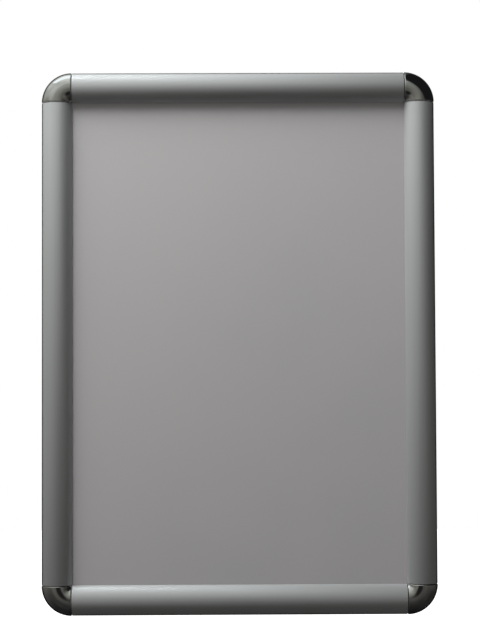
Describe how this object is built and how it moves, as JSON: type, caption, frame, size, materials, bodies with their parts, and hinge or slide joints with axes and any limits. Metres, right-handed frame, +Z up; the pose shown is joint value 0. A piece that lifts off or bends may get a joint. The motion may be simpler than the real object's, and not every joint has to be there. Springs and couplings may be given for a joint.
{
  "type": "poster frame",
  "caption": "Wall-mounted snap poster frame with hinged rounded aluminium rails, sprung shut, and quarter-round chromed corner caps.",
  "frame": {"origin": "on the wall plane, at the middle of the top base rail's back face, 12 mm below the frame's top edge", "axes": "+Z up along the long side, +X to the viewer's right, -Y towards the viewer, +Y into the wall"},
  "size_m": [0.327, 0.012, 0.45],
  "materials": {
    "snap_aluminium": "satin anodised, drawn lengthwise",
    "base_aluminium": "satin, as extruded",
    "chromed_plastic": "polished chrome plating on ABS",
    "key_steel": "zinc plated, satin",
    "spring_steel": "satin blued spring steel",
    "screw_steel": "satin zinc plated",
    "back_polystyrene": "matte grey polystyrene",
    "cover_pvc": "matte anti-glare PVC over the grey panel"
  },
  "bodies": {
    "root": {"back_panel": "back_polystyrene", "cover_sheet": "cover_pvc", "base_rail_top": "base_aluminium", "rail_spring_top_1": "spring_steel", "rail_spring_top_2": "spring_steel", "base_rail_bottom": "base_aluminium", "rail_spring_bottom_1": "spring_steel", "rail_spring_bottom_2": "spring_steel", "base_rail_left": "base_aluminium", "rail_spring_left_1": "spring_steel", "rail_spring_left_2": "spring_steel", "rail_spring_left_3": "spring_steel", "base_rail_right": "base_aluminium", "rail_spring_right_1": "spring_steel", "rail_spring_right_2": "spring_steel", "rail_spring_right_3": "spring_steel", "corner_cap_top_left": "chromed_plastic", "corner_key_top_left": "key_steel", "cap_screw_top_left": "screw_steel", "key_screw_top_left_1": "screw_steel", "key_screw_top_left_2": "screw_steel", "corner_cap_top_right": "chromed_plastic", "corner_key_top_right": "key_steel", "cap_screw_top_right": "screw_steel", "key_screw_top_right_1": "screw_steel", "key_screw_top_right_2": "screw_steel", "corner_cap_bottom_left": "chromed_plastic", "corner_key_bottom_left": "key_steel", "cap_screw_bottom_left": "screw_steel", "key_screw_bottom_left_1": "screw_steel", "key_screw_bottom_left_2": "screw_steel", "corner_cap_bottom_right": "chromed_plastic", "corner_key_bottom_right": "key_steel", "cap_screw_bottom_right": "screw_steel", "key_screw_bottom_right_1": "screw_steel", "key_screw_bottom_right_2": "screw_steel"},
    "snap_top": {"snap_rail_top": "snap_aluminium"},
    "snap_bottom": {"snap_rail_bottom": "snap_aluminium"},
    "snap_left": {"snap_rail_left": "snap_aluminium"},
    "snap_right": {"snap_rail_right": "snap_aluminium"}
  },
  "joints": [
    {"name": "top_rail_hinge", "type": "hinge", "parent": "root", "child": "snap_top", "pos_m": [0, -0.005, 0.0105], "axis": [-1, 0, 0], "range_deg": [0, 95], "deforming": ["rail_spring_top_1", "rail_spring_top_2"]},
    {"name": "bottom_rail_hinge", "type": "hinge", "parent": "root", "child": "snap_bottom", "pos_m": [0, -0.005, -0.4365], "axis": [1, 0, 0], "range_deg": [0, 95], "deforming": ["rail_spring_bottom_1", "rail_spring_bottom_2"]},
    {"name": "left_rail_hinge", "type": "hinge", "parent": "root", "child": "snap_left", "pos_m": [-0.162, -0.005, -0.213], "axis": [0, 0, -1], "range_deg": [0, 95], "deforming": ["rail_spring_left_1", "rail_spring_left_2", "rail_spring_left_3"]},
    {"name": "right_rail_hinge", "type": "hinge", "parent": "root", "child": "snap_right", "pos_m": [0.162, -0.005, -0.213], "axis": [0, 0, 1], "range_deg": [0, 95], "deforming": ["rail_spring_right_1", "rail_spring_right_2", "rail_spring_right_3"]}
  ]
}
